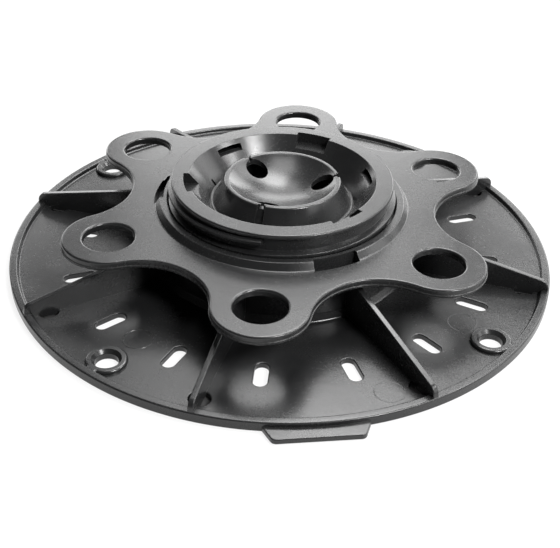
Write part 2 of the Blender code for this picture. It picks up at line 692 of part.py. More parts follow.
def main():
    for old in list(bpy.data.objects):
        bpy.data.objects.remove(old, do_unlink=True)
    plastic = material("moulded_plastic", (0.045, 0.046, 0.047), 0.42)
    shade([make_base_plate(plastic), make_wheel(plastic), make_cup(plastic)])


main()
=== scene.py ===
"""Looks of the decking pedestal: moulded dark plastic on a white studio floor."""

import math

import bmesh
import bpy
from mathutils import Matrix, Vector


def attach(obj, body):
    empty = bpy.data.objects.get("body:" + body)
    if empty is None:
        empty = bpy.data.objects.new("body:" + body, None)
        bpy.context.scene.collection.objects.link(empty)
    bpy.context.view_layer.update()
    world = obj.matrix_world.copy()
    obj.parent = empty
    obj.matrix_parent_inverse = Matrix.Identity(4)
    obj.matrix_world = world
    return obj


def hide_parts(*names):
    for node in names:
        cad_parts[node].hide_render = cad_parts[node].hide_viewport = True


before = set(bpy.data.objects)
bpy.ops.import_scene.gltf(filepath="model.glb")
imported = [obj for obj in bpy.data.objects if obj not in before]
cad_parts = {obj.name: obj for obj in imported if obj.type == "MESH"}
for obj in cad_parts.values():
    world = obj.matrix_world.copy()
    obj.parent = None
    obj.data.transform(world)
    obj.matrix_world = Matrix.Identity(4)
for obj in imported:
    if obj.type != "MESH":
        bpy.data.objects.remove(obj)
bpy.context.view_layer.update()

MM = 0.001
IMAGE_WIDTH = 560

# Camera, found from the photo
CAMERA_FOCAL_PIXELS = 1057.525
CAMERA_SENSOR = 36.0
CAMERA_TILT = 34.561
CAMERA_PAN = 0.028
CAMERA_ROLL = -1.78
CAMERA_PLACE = Vector((0.0, -0.335307, 0.2201))
CAMERA_NEAREST = 0.01

# Floor and light
FLOOR_SIZE = 6.0
FLOOR_DROP = 0.05 * MM
FLOOR_COLOUR = (0.80, 0.80, 0.80)
FLOOR_GLOW = 0.84
WORLD_STRENGTH = 0.035

# Painted shade: the floor is coloured dark and does not glow under the holes at the rib feet
PAINTED_SHADE_COLOUR = (0.06, 0.06, 0.06)
SHADE_HALF_WIDTH = 6.0 * MM
SHADE_INSIDE = 84.0 * MM
SHADE_OUTSIDE = 98.0 * MM

# Square soft boxes round the object, as (name, azimuth, elevation, size, power).
# On a flat top face they give about 2.6 times the light at which a colour renders as written, and about
# half of it on a wall that faces the camera, so the plastic's colours below are written darker to match.
LAMP_DISTANCE = 1.2
SOFTBOXES = [
    ("key", 315.0, 45.0, 0.30, 13.0),
    ("key_side", 0.0, 45.0, 0.30, 6.6),
    ("fill_right_back", 45.0, 45.0, 0.50, 4.2),
    ("fill_back", 90.0, 45.0, 0.50, 2.4),
    ("fill_back_high", 76.0, 58.0, 0.45, 9.0),
    ("top", 90.0, 82.0, 0.50, 4.6),
    ("strip_right_front", 330.0, 18.0, 0.50, 2.1),
    ("strip_right", 0.0, 18.0, 0.50, 2.6),
    ("strip_right_back", 30.0, 18.0, 0.50, 2.6),
    ("strip_back_right", 60.0, 18.0, 0.50, 4.8),
    ("strip_back", 90.0, 18.0, 0.50, 4.2),
    ("strip_back_left", 120.0, 18.0, 0.50, 3.6),
]

# Shapes: the driving sizes of the solids, with finer rounding.
# The tab and the inside of the cup follow the photo more closely than the solids do.
RUNNING_GAP = 0.4 * MM
SEAT_GAP = 0.3 * MM
THREAD_FLANK_GAP = 0.3 * MM
EMBED = 0.5 * MM
OVERCUT = 1.0 * MM
AXIS_TOLERANCE = 0.001 * MM
SHARP_ANGLE = 38.0
CORNER_STEPS = 5

# Base plate
BASE_RADIUS = 99.9 * MM
FLOOR_THICKNESS = 2.0 * MM
RIM_HEIGHT = 3.6 * MM
RIM_WIDTH = 2.8 * MM
RIM_DRAFT = 0.5 * MM
RIM_ROUND = 0.6 * MM
FOOT_ROUND = 0.35 * MM
BASE_SEGMENTS = 264
HUB_WALL = 2.6 * MM
HUB_TOP = 18.4 * MM
HUB_ROUND = 0.5 * MM
HUB_FOOT_WIDTH = 1.4 * MM
HUB_FOOT_HEIGHT = 2.6 * MM
HUB_FOOT_ROUND = 1.0 * MM

RIB_COUNT = 8
RIB_PHASE = 30.0
RIB_THICKNESS = 2.0 * MM
RIB_TOP_DROP = 0.6 * MM
RIB_RIM_HEIGHT = 7.5 * MM
RIB_NOSE_RADIUS = 3.4 * MM
RIB_NOSE_END = 78.0
RIB_NOSE_STEPS = 12
RIB_EDGE = 0.35 * MM

RIM_HOLE_RADIUS = 3.5 * MM
RIM_HOLE_INSET = 8.9 * MM
SLOT_COUNT = 16
SLOT_INSET = 24.3 * MM
SLOT_LENGTH = 11.5 * MM
SLOT_WIDTH = 4.7 * MM
SLOT_END_STEPS = 14
HOLE_EDGE = 0.45 * MM
HOLE_SEGMENTS = 64

BOSS_COUNT = 4
BOSS_PHASE = 52.5
BOSS_INSET = 9.8 * MM
BOSS_RADIUS = 7.0 * MM
BOSS_DROP = 0.2 * MM
BOSS_NECK_WIDTH = 4.4 * MM
BOSS_EDGE = 0.9 * MM
BOSS_STEPS = 60
SCREW_HOLE_RADIUS = 3.9 * MM
COUNTERSINK_RADIUS = 5.0 * MM
COUNTERSINK_DEPTH = 1.3 * MM

TAB_ANGLE = 277.4
TAB_ROOT_WIDTH = 34.8 * MM
TAB_TIP_WIDTH = 28.4 * MM
TAB_REACH = 4.69 * MM
TAB_CORNER_RADIUS = 2.0 * MM
TAB_EDGE = 0.35 * MM
TAB_LOWER = 0.3 * MM
TAB_UPPER = 2.0 * MM

# Ejector marks on the floor, as (radius, angle, share of the full depth)
EJECTOR_MARKS = [(75.2 * MM, 232.0, 1.0), (89.6 * MM, 293.5, 0.25), (77.2 * MM, 324.9, 0.25)]
EJECTOR_RADIUS = 4.9 * MM
EJECTOR_DEPTH = 0.12 * MM
EJECTOR_RISE = 0.10 * MM
EJECTOR_RING_WIDTH = 0.30 * MM

# Thread shared by the wheel and the cup
THREAD_ROOT_RADIUS = 39.0 * MM
THREAD_DEPTH = 2.4 * MM
THREAD_LEAD = 4.8 * MM
THREAD_ROOT_WIDTH = 2.4 * MM
THREAD_CREST_WIDTH = 1.3 * MM
THREAD_CREST_ROUND = 0.3 * MM
THREAD_TOP_ANGLE = 261.0
THREAD_TOP_DROP = 3.1 * MM
THREAD_END_MARGIN = 0.3 * MM
THREAD_STEP = 3.0

# Adjusting wheel
LOBE_COUNT = 6
LOBE_PHASE = 25.0
LOBE_PITCH_RADIUS = 65.75 * MM
LOBE_RADIUS = 16.3 * MM
VALLEY_PITCH_RADIUS = 80.0 * MM
FINGER_HOLE_RADIUS = 8.9 * MM
FINGER_HOLE_EDGE = 0.9 * MM
WHEEL_THICKNESS = 3.0 * MM
WHEEL_TOP_ROUND = 0.7 * MM
WHEEL_FOOT_ROUND = 0.4 * MM
WHEEL_LIP_HEIGHT = 1.0 * MM
WHEEL_LIP_WIDTH = 0.25 * MM
WHEEL_LIP_ROUND = 0.12 * MM
WHEEL_EDGE_REACH = 1.2 * MM
LOBE_STEPS = 48
VALLEY_STEPS = 24
WHEEL_SEGMENTS = 240
SLEEVE_WALL = 2.7 * MM
SLEEVE_BOTTOM = 8.0 * MM
SLEEVE_ROUND = 0.4 * MM
COLLAR_RISE = 2.5 * MM
COLLAR_FLARE = 1.6 * MM
COLLAR_ROUND = 0.6 * MM
COLLAR_FILLET = 0.5 * MM
WINDOW_COUNT = 3
WINDOW_STEPS = 16
COLLAR_WINDOW_PHASE = 55.0
COLLAR_WINDOW_SPAN = 21.0
COLLAR_WINDOW_WALL = 1.4 * MM
COLLAR_WINDOW_REACH = 0.7 * MM
LUG_SPAN = 24.0
LUG_STEPS = 12

# Threaded cup
CUP_SEGMENTS = 192
CUP_TOP = 32.0 * MM
CUP_RING_RADIUS = 40.3 * MM
CUP_RING_ROUND = 0.7 * MM
CUP_RING_FOOT_ROUND = CUP_RING_ROUND / 3
CUP_RING_EDGE = 1.4 * MM
CUP_RING_UNDERCUT = 0.7 * MM
CUP_TUBE_WALL = 1.8 * MM
CUP_LID_THICKNESS = 1.8 * MM
SOCKET_RADIUS = 34.0 * MM
SOCKET_TAPER = 40.0
SOCKET_WALL = 1.8 * MM
SOCKET_ROUND = 0.5 * MM
TROUGH_FLOOR_WIDTH = 0.3 * MM
TROUGH_THICKNESS = 1.8 * MM
TROUGH_ROUND = 0.9 * MM
SEAT_SPHERE_RADIUS = 32.9 * MM
SEAT_EDGE_DROP = 1.3 * MM
SEAT_WALL = 1.8 * MM
SEAT_RIM_DROP = 0.8 * MM
SEAT_RIM_ROUND = 0.9 * MM
SEAT_EDGE_RADIUS = 18.8 * MM
SEAT_ARC_STEPS = 20
SKIRT_TOP_RADIUS = 21.5 * MM
SKIRT_TOP_DROP = 1.1 * MM
SKIRT_FLARE = 3.6 * MM
CUP_PHASE = 10.3
KEYHOLE_RADIUS = 4.1 * MM
KEYHOLE_PITCH_RADIUS = 14.8 * MM
KEYHOLE_NOTCH_WIDTH = 1.3 * MM
KEYHOLE_NOTCH_DEPTH = 1.4 * MM
SKIRT_GROOVE_WIDTH = 3.0 * MM
SKIRT_GROOVE_DEPTH = 1.0 * MM
RECESS_SPAN = 21.6
RECESS_DEPTH = 1.9 * MM
RECESS_HEIGHT = 4.2 * MM
RECESS_WALL = 1.3 * MM
RECESS_FLOOR = 1.5 * MM
SOCKET_WINDOW_SPAN = 19.6
SOCKET_WINDOW_DROP = 3.7 * MM
SOCKET_WINDOW_HEIGHT = 2.2 * MM
DRAIN_SLIT_OFFSET = 151.0
DRAIN_SLIT_INSET = 1.9 * MM
DRAIN_SLIT_LENGTH = 1.8 * MM
DRAIN_SLIT_WIDTH = 1.1 * MM

# Places that follow from the sizes above
BOSS_PITCH_RADIUS = BASE_RADIUS - BOSS_INSET
SLOT_PITCH_RADIUS = BASE_RADIUS - SLOT_INSET
RIM_HOLE_PITCH_RADIUS = BASE_RADIUS - RIM_HOLE_INSET
BOSS_HEIGHT = RIM_HEIGHT - BOSS_DROP
THREAD_CREST_RADIUS = THREAD_ROOT_RADIUS + THREAD_DEPTH
SLEEVE_BORE = THREAD_CREST_RADIUS + RUNNING_GAP
SLEEVE_RADIUS = SLEEVE_BORE + SLEEVE_WALL
HUB_BORE = SLEEVE_RADIUS + RUNNING_GAP
HUB_RADIUS = HUB_BORE + HUB_WALL
WHEEL_BOTTOM = HUB_TOP + SEAT_GAP
WHEEL_TOP = WHEEL_BOTTOM + WHEEL_THICKNESS
COLLAR_TOP = WHEEL_TOP + COLLAR_RISE
CUP_BOTTOM = FLOOR_THICKNESS + SEAT_GAP
CUP_TUBE_BORE = THREAD_ROOT_RADIUS - CUP_TUBE_WALL
SOCKET_LEAN = math.tan(math.radians(SOCKET_TAPER))
SKIRT_FOOT_RADIUS = SKIRT_TOP_RADIUS + SKIRT_FLARE
TROUGH_Z = CUP_TOP - (SOCKET_RADIUS - SKIRT_FOOT_RADIUS - TROUGH_FLOOR_WIDTH) / SOCKET_LEAN
SEAT_RIM_Z = CUP_TOP - SEAT_RIM_DROP
SEAT_CENTRE_Z = CUP_TOP - SEAT_EDGE_DROP + math.sqrt(SEAT_SPHERE_RADIUS ** 2 - SEAT_EDGE_RADIUS ** 2)
RECESS_RADIUS = SOCKET_RADIUS + RECESS_DEPTH
RECESS_PHASE = CUP_PHASE + 180.0 / WINDOW_COUNT
RECESS_FLOOR_Z = CUP_TOP - RECESS_HEIGHT
THREAD_TOP_Z = CUP_TOP - THREAD_TOP_DROP
THREAD_BOTTOM_Z = CUP_BOTTOM + THREAD_ROOT_WIDTH / 2 + THREAD_END_MARGIN


def polar(radius, degrees, z=0.0):
    """Point at a radius and an angle about +Z."""
    angle = math.radians(degrees)
    return Vector((radius * math.cos(angle), radius * math.sin(angle), z))


def angles(count, phase):
    """Angles of a pattern that repeats evenly round the axis."""
    return [phase + 360.0 * index / count for index in range(count)]


def arc(centre, radius, start, end, steps):
    """Points along an arc in a plane, both ends included."""
    points = []
    for index in range(steps + 1):
        angle = math.radians(start + (end - start) * index / steps)
        points.append((centre[0] + radius * math.cos(angle), centre[1] + radius * math.sin(angle)))
    return points


def rounded(corners):
    """Closed outline through (x, y, rounding radius) corners, with each rounding as an arc."""
    outline = []
    count = len(corners)
    for index, (x, y, radius) in enumerate(corners):
        if radius == 0.0:
            outline.append((x, y))
            continue
        corner = Vector((x, y))
        back = (Vector(corners[index - 1][:2]) - corner).normalized()
        ahead = (Vector(corners[(index + 1) % count][:2]) - corner).normalized()
        half = back.angle(ahead) / 2
        centre = corner + (back + ahead).normalized() * (radius / math.sin(half))
        first = corner + back * (radius / math.tan(half)) - centre
        last = corner + ahead * (radius / math.tan(half)) - centre
        turn_angle = first.angle_signed(last)
        for step in range(CORNER_STEPS + 1):
            spot = centre + first @ Matrix.Rotation(turn_angle * step / CORNER_STEPS, 2)
            outline.append((spot.x, spot.y))
    return outline


def new_object(name, bm):
    """Turn a bmesh into an object with its faces pointing out."""
    bmesh.ops.recalc_face_normals(bm, faces=bm.faces)
    mesh = bpy.data.meshes.new(name)
    bm.to_mesh(mesh)
    bm.free()
    made = bpy.data.objects.new(name, mesh)
    bpy.context.scene.collection.objects.link(made)
    return made


def settle(target):
    """Keep what an object's modifiers make as its own mesh."""
    graph = bpy.context.evaluated_depsgraph_get()
    result = bpy.data.meshes.new_from_object(target.evaluated_get(graph), depsgraph=graph)
    old = target.data
    target.modifiers.clear()
    target.data = result
    bpy.data.meshes.remove(old)


def combine(target, operation, bm):
    """Join a shape to an object, or cut it away."""
    tool = new_object("tool", bm)
    modifier = target.modifiers.new("combine", "BOOLEAN")
    modifier.operation = operation
    modifier.solver = "MANIFOLD"
    modifier.object = tool
    settle(target)
    tool_mesh = tool.data
    bpy.data.objects.remove(tool)
    bpy.data.meshes.remove(tool_mesh)


def turn(bm, profile, segments):
    """Revolve a closed outline of (radius, height) pairs about Z. A point on the axis stays one vertex."""
    rings = []
    for radius, z in profile:
        copies = segments if radius > AXIS_TOLERANCE else 1
        turned = [polar(radius, 360.0 * (index + 0.5) / segments, z) for index in range(copies)]
        rings.append([bm.verts.new(point) for point in turned])
    for before, after in zip(rings, rings[1:] + rings[:1]):
        for index in range(segments):
            following = (index + 1) % segments
            corners = [before[index % len(before)], before[following % len(before)],
                       after[following % len(after)], after[index % len(after)]]
            corners = list(dict.fromkeys(corners))
            if len(corners) > 2:
                bm.faces.new(corners)
    return bm


def skin(bm, sections):
    """Skin a run of sections, each a list of as many points, close both ends, and return the vertices."""
    rows = [[bm.verts.new(point) for point in section] for section in sections]
    count = len(rows[0])
    for before, after in zip(rows, rows[1:]):
        for index in range(count):
            following = (index + 1) % count
            bm.faces.new((before[index], before[following], after[following], after[index]))
    bm.faces.new(rows[0][::-1])
    bm.faces.new(rows[-1])
    return [vert for row in rows for vert in row]


def prism(bm, outline, low, high):
    """Extrude a closed outline of (x, y) pairs between two heights, and return its vertices."""
    return skin(bm, [[(x, y, z) for x, y in outline] for z in (low, high)])


def place(bm, verts, radius, degrees):
    """Move a shape made about the origin out along +X, then swing it round Z."""
    bmesh.ops.translate(bm, verts=verts, vec=(radius, 0, 0))
    bmesh.ops.rotate(bm, verts=verts, cent=(0, 0, 0), matrix=Matrix.Rotation(math.radians(degrees), 3, "Z"))


def stand_up(bm, verts):
    """Turn a shape drawn in the ground plane up into the plane of the radius and the height."""
    bmesh.ops.rotate(bm, verts=verts, cent=(0, 0, 0), matrix=Matrix.Rotation(math.radians(90), 3, "X"))


def flare(grow_limit, surface, low):
    """Levels of a cutter that rounds the edge where it leaves a flat surface, as (grow, height) pairs."""
    start = surface - grow_limit
    levels = [(0.0, low)]
    for index in range(CORNER_STEPS + 1):
        angle = math.radians(90.0 * index / CORNER_STEPS)
        levels.append((grow_limit * (1 - math.cos(angle)), start + grow_limit * math.sin(angle)))
    levels.append((grow_limit, surface + OVERCUT))
    return levels


def round_outline(radius, segments):
    """Closed circle about the origin."""
    return arc((0, 0), radius, 0.0, 360.0 * (1 - 1 / segments), segments - 1)


def sector_outline(inner, outer, centre, span, steps):
    """Piece of a ring between two radii."""
    low = centre - span / 2
    high = centre + span / 2
    return arc((0, 0), outer, low, high, steps) + arc((0, 0), inner, high, low, steps)


# Base plate

def base_profile():
    """Section of the floor, rim and hub tube, from the middle of the underside outwards."""
    rim_inside = BASE_RADIUS - RIM_WIDTH
    return rounded([
        (0.0, 0.0, 0.0),
        (BASE_RADIUS, 0.0, FOOT_ROUND),
        (BASE_RADIUS, RIM_HEIGHT, RIM_ROUND),
        (rim_inside, RIM_HEIGHT, RIM_ROUND),
        (rim_inside - RIM_DRAFT, FLOOR_THICKNESS, RIM_ROUND),
        (HUB_RADIUS + HUB_FOOT_WIDTH, FLOOR_THICKNESS, HUB_FOOT_ROUND),
        (HUB_RADIUS, FLOOR_THICKNESS + HUB_FOOT_HEIGHT, HUB_FOOT_ROUND),
        (HUB_RADIUS, HUB_TOP, HUB_ROUND),
        (HUB_BORE, HUB_TOP, HUB_ROUND),
        (HUB_BORE, FLOOR_THICKNESS, HUB_ROUND),
        (0.0, FLOOR_THICKNESS, 0.0),
    ])


def rib_outline(shrink):
    """Side view of one rib as (radius, height), drawn in all round by a distance."""
    inner = HUB_RADIUS - HUB_WALL / 2
    outer = BASE_RADIUS - FOOT_ROUND - shrink
    radius = RIB_NOSE_RADIUS - shrink
    nose_centre = (outer - radius, RIB_RIM_HEIGHT - RIB_NOSE_RADIUS)
    nose = arc(nose_centre, radius, 0.0, RIB_NOSE_END, RIB_NOSE_STEPS)
    foot = FLOOR_THICKNESS / 2
    top = HUB_TOP - RIB_TOP_DROP - shrink
    return [(inner, foot), (outer, foot)] + nose + [(HUB_RADIUS, top), (inner, top)]


def rib_sections():
    """Sections of a rib across its thickness, with the long edges rounded."""
    half = RIB_THICKNESS / 2
    levels = []
    for index in range(CORNER_STEPS + 1):
        angle = math.radians(90.0 * index / CORNER_STEPS)
        levels.append((RIB_EDGE * (1 - math.sin(angle)), half - RIB_EDGE * (1 - math.cos(angle))))
    both = [(shrink, -side) for shrink, side in levels]
    both += reversed(levels)
    return [[(x, y, side) for x, y in rib_outline(shrink)] for shrink, side in both]


def boss_outline(shrink):
    """Round boss with a neck that runs out into the rim, drawn in all round by a distance."""
    half = BOSS_NECK_WIDTH / 2 - shrink
    radius = BOSS_RADIUS - shrink
    opening = math.degrees(math.asin(half / radius))
    neck_end = BASE_RADIUS - RIM_WIDTH / 2 - BOSS_PITCH_RADIUS
    return arc((0, 0), radius, opening, 360 - opening, BOSS_STEPS) + [(neck_end, -half), (neck_end, half)]


def domed(outline, low, high, edge):
    """Sections of a block from its foot up, with its upper edge rounded. outline takes a shrink."""
    sections = [[(x, y, low) for x, y in outline(0.0)]]
    for index in range(CORNER_STEPS + 1):
        angle = math.radians(90.0 * index / CORNER_STEPS)
        z = high - edge * (1 - math.sin(angle))
        sections.append([(x, y, z) for x, y in outline(edge * (1 - math.cos(angle)))])
    return sections


def tab_outline(shrink):
    """Flat tab on the rim with round corners, drawn in by a distance."""
    root = BASE_RADIUS - RIM_WIDTH
    tip = BASE_RADIUS + TAB_REACH - shrink
    half_root = TAB_ROOT_WIDTH / 2 - shrink
    half_tip = TAB_TIP_WIDTH / 2 - shrink
    taper = math.degrees(math.atan2(half_root - half_tip, tip - root))
    radius = TAB_CORNER_RADIUS - shrink
    inset = radius * math.tan(math.radians(90 - taper) / 2)
    corner = arc((tip - radius, half_tip - inset), radius, 0.0, 90 - taper, CORNER_STEPS)
    mirrored = [(x, -y) for x, y in reversed(corner)]
    return [(root, -half_root)] + mirrored + corner + [(root, half_root)]


def rim_hole_outline(grow):
    """Round hole at a rib's foot, grown outwards by a distance."""
    return round_outline(RIM_HOLE_RADIUS + grow, HOLE_SEGMENTS)


def slot_outline(grow):
    """Round-ended slot along the radius, grown outwards by a distance."""
    radius = SLOT_WIDTH / 2
    reach = SLOT_LENGTH / 2 - radius
    outer_end = arc((reach, 0), radius + grow, -90, 90, SLOT_END_STEPS)
    return outer_end + arc((-reach, 0), radius + grow, 90, 270, SLOT_END_STEPS)


def screw_hole_profile():
    """Section of a countersunk screw hole, as what it takes off the boss and the floor."""
    return rounded([
        (0.0, -OVERCUT, 0.0),
        (SCREW_HOLE_RADIUS, -OVERCUT, 0.0),
        (SCREW_HOLE_RADIUS, BOSS_HEIGHT - COUNTERSINK_DEPTH, HOLE_EDGE),
        (COUNTERSINK_RADIUS, BOSS_HEIGHT, HOLE_EDGE / 2),
        (COUNTERSINK_RADIUS, BOSS_HEIGHT + OVERCUT, 0.0),
        (0.0, BOSS_HEIGHT + OVERCUT, 0.0),
    ])


def ejector_profile(share):
    """Shallow round mark, as the section of what it takes off the floor."""
    low = FLOOR_THICKNESS - EJECTOR_DEPTH * share
    high = FLOOR_THICKNESS + EJECTOR_DEPTH
    return [(0.0, low), (EJECTOR_RADIUS - EJECTOR_DEPTH, low), (EJECTOR_RADIUS, high), (0.0, high)]


def ejector_rim_profile(share):
    """Fine raised line round an ejector mark."""
    middle = EJECTOR_RADIUS + EJECTOR_RING_WIDTH / 2
    foot_half = EJECTOR_RING_WIDTH
    top_half = EJECTOR_RING_WIDTH / 3
    foot = FLOOR_THICKNESS - EJECTOR_DEPTH
    top = FLOOR_THICKNESS + EJECTOR_RISE * share
    foot_pair = [(middle - foot_half, foot), (middle + foot_half, foot)]
    return foot_pair + [(middle + top_half, top), (middle - top_half, top)]


def add_turned(bm, profile, radius, degrees):
    """Revolve a profile about its own axis at a place in the pattern."""
    known = set(bm.verts)
    turn(bm, profile, HOLE_SEGMENTS)
    fresh = [vert for vert in bm.verts if vert not in known]
    place(bm, fresh, radius, degrees)


def add_floor_cutters(bm, outline, radius, turns):
    """Cutter through the floor at each angle, with the hole's upper edge rounded. outline takes a growth."""
    levels = flare(HOLE_EDGE, FLOOR_THICKNESS, -OVERCUT)
    for degrees in turns:
        verts = skin(bm, [[(x, y, z) for x, y in outline(grow)] for grow, z in levels])
        place(bm, verts, radius, degrees)


def add_ribs(base):
    """Eight ribs from the hub down to the rim."""
    for degrees in angles(RIB_COUNT, RIB_PHASE):
        rib = bmesh.new()
        verts = skin(rib, rib_sections())
        stand_up(rib, verts)
        place(rib, verts, 0.0, degrees)
        combine(base, "UNION", rib)


def add_raised_parts(base):
    """Screw bosses, the tab, and the fine lines round the ejector marks."""
    raised = bmesh.new()
    for degrees in angles(BOSS_COUNT, BOSS_PHASE):
        verts = skin(raised, domed(boss_outline, FLOOR_THICKNESS / 2, BOSS_HEIGHT, BOSS_EDGE))
        place(raised, verts, BOSS_PITCH_RADIUS, degrees)
    verts = skin(raised, domed(tab_outline, TAB_LOWER, TAB_UPPER, TAB_EDGE))
    place(raised, verts, 0.0, TAB_ANGLE)
    for radius, degrees, share in EJECTOR_MARKS:
        add_turned(raised, ejector_rim_profile(share), radius, degrees)
    combine(base, "UNION", raised)


def cut_base_openings(base):
    """Drainage slots, countersunk screw holes and the shallow ejector marks."""
    openings = bmesh.new()
    slot_phase = RIB_PHASE + 180.0 / SLOT_COUNT
    add_floor_cutters(openings, slot_outline, SLOT_PITCH_RADIUS, angles(SLOT_COUNT, slot_phase))
    for degrees in angles(BOSS_COUNT, BOSS_PHASE):
        add_turned(openings, screw_hole_profile(), BOSS_PITCH_RADIUS, degrees)
    for radius, degrees, share in EJECTOR_MARKS:
        add_turned(openings, ejector_profile(share), radius, degrees)
    combine(base, "DIFFERENCE", openings)


def make_base_plate():
    """Floor, rim and hub in one turning, then the rim holes, ribs, bosses, tab, slots and screw holes."""
    base = new_object("base_plate_shell", turn(bmesh.new(), base_profile(), BASE_SEGMENTS))
    rim_holes = bmesh.new()
    add_floor_cutters(rim_holes, rim_hole_outline, RIM_HOLE_PITCH_RADIUS, angles(RIB_COUNT, RIB_PHASE))
    combine(base, "DIFFERENCE", rim_holes)
    add_ribs(base)
    add_raised_parts(base)
    cut_base_openings(base)
    return base


# Adjusting wheel

def wheel_outline(grow):
    """Six convex lobes joined by concave valleys, each tangent to the next, grown by a distance."""
    lobe = Vector((LOBE_PITCH_RADIUS, 0.0))
    half_pitch = 180.0 / LOBE_COUNT
    valley = polar(VALLEY_PITCH_RADIUS, half_pitch).to_2d()
    gap = valley - lobe
    lobe_end = math.degrees(math.atan2(gap.y, gap.x))
    valley_radius = gap.length - LOBE_RADIUS - grow
    valley_start = lobe_end + 180.0
    valley_end = 360.0 + 2 * half_pitch - valley_start
    outline = []
    for degrees in angles(LOBE_COUNT, LOBE_PHASE):
        centre = polar(LOBE_PITCH_RADIUS, degrees).to_2d()
        outline += arc(centre, LOBE_RADIUS + grow, degrees - lobe_end, degrees + lobe_end, LOBE_STEPS)
        hollow = polar(VALLEY_PITCH_RADIUS, degrees + half_pitch).to_2d()
        inside = arc(hollow, valley_radius, degrees + valley_start, degrees + valley_end, VALLEY_STEPS)
        outline += inside[1:-1]
    return outline


def wheel_plate_sections():
    """Outlines of the plate from its underside up: a lip below the parting line, then the upper wall."""
    parting = WHEEL_BOTTOM + WHEEL_LIP_HEIGHT
    edge = rounded([
        (-WHEEL_EDGE_REACH, WHEEL_BOTTOM, 0.0),
        (WHEEL_LIP_WIDTH, WHEEL_BOTTOM, WHEEL_FOOT_ROUND),
        (WHEEL_LIP_WIDTH, parting, WHEEL_LIP_ROUND),
        (0.0, parting, WHEEL_LIP_ROUND),
        (0.0, WHEEL_TOP, WHEEL_TOP_ROUND),
        (-WHEEL_EDGE_REACH, WHEEL_TOP, 0.0),
    ])
    return [[(x, y, z) for x, y in wheel_outline(grow)] for grow, z in edge]


def sleeve_profile():
    """Section of the collar above the lobes and the sleeve that turns inside the hub."""
    foot = SLEEVE_RADIUS + COLLAR_FLARE
    return rounded([
        (SLEEVE_BORE, SLEEVE_BOTTOM, SLEEVE_ROUND),
        (SLEEVE_RADIUS, SLEEVE_BOTTOM, SLEEVE_ROUND),
        (SLEEVE_RADIUS, WHEEL_BOTTOM + EMBED, 0.0),
        (foot + COLLAR_FILLET, WHEEL_TOP - EMBED, 0.0),
        (foot + COLLAR_FILLET, WHEEL_TOP, 0.0),
        (foot, WHEEL_TOP + COLLAR_FILLET / 2, COLLAR_FILLET / 2),
        (SLEEVE_RADIUS, COLLAR_TOP, COLLAR_ROUND),
        (SLEEVE_BORE, COLLAR_TOP, SLEEVE_ROUND),
    ])


def finger_hole_profile():
    """Cutter for a finger hole with both of its edges rounded."""
    wide = FINGER_HOLE_RADIUS + FINGER_HOLE_EDGE
    profile = [(0.0, WHEEL_BOTTOM - OVERCUT), (wide, WHEEL_BOTTOM - OVERCUT)]
    profile += arc((wide, WHEEL_BOTTOM + FINGER_HOLE_EDGE), FINGER_HOLE_EDGE, 270.0, 180.0, CORNER_STEPS)
    profile += arc((wide, WHEEL_TOP - FINGER_HOLE_EDGE), FINGER_HOLE_EDGE, 180.0, 90.0, CORNER_STEPS)
    return profile + [(wide, WHEEL_TOP + OVERCUT), (0.0, WHEEL_TOP + OVERCUT)]


def ridge_height(degrees):
    """Mid height of the cup's thread at an unwound angle, which is 0 at its upper end."""
    return THREAD_TOP_Z + THREAD_LEAD * degrees / 360.0


def lug_base_half():
    """Half the axial width of a lug where it leaves the sleeve."""
    return (THREAD_LEAD - THREAD_CREST_WIDTH) / 2 - THREAD_FLANK_GAP


def lug_height(degrees):
    """Mid height of the wheel's thread at an angle: half a lead below the cup's thread."""
    below = ridge_height(degrees - THREAD_TOP_ANGLE) - THREAD_LEAD / 2
    half_climb = THREAD_LEAD * (LUG_SPAN / 2) / 360.0
    highest = WHEEL_TOP - lug_base_half() - half_climb
    return below - math.ceil((below - highest) / THREAD_LEAD) * THREAD_LEAD


def lug_section(degrees, height):
    """Section of a lug at an angle: it fills the cup's groove, less the flank gap."""
    tip_half = (THREAD_LEAD - THREAD_ROOT_WIDTH) / 2 - THREAD_FLANK_GAP
    base_radius = SLEEVE_BORE + EMBED
    tip_radius = THREAD_ROOT_RADIUS + RUNNING_GAP
    shape = rounded([(tip_radius, -tip_half, THREAD_CREST_ROUND), (base_radius, -lug_base_half(), 0.0),
                     (base_radius, lug_base_half(), 0.0), (tip_radius, tip_half, THREAD_CREST_ROUND)])
    return [polar(radius, degrees, height + offset) for radius, offset in shape]


def cut_wheel_holes(wheel):
    """Finger holes, and the middle that the sleeve fills."""
    holes = bmesh.new()
    middle = round_outline(SLEEVE_RADIUS - SLEEVE_WALL / 2, WHEEL_SEGMENTS)
    prism(holes, middle, WHEEL_BOTTOM - OVERCUT, WHEEL_TOP + OVERCUT)
    for degrees in angles(LOBE_COUNT, LOBE_PHASE):
        add_turned(holes, finger_hole_profile(), LOBE_PITCH_RADIUS, degrees)
    combine(wheel, "DIFFERENCE", holes)


def cut_collar_windows(wheel):
    """Windows through the collar and the plate, beside the sleeve's inner wall."""
    windows = bmesh.new()
    inner = SLEEVE_BORE + COLLAR_WINDOW_WALL
    outer = SLEEVE_RADIUS + COLLAR_FLARE + COLLAR_WINDOW_REACH
    for centre in angles(WINDOW_COUNT, COLLAR_WINDOW_PHASE):
        outline = sector_outline(inner, outer, centre, COLLAR_WINDOW_SPAN, WINDOW_STEPS)
        prism(windows, outline, WHEEL_BOTTOM - OVERCUT, COLLAR_TOP + OVERCUT)
    combine(wheel, "DIFFERENCE", windows)


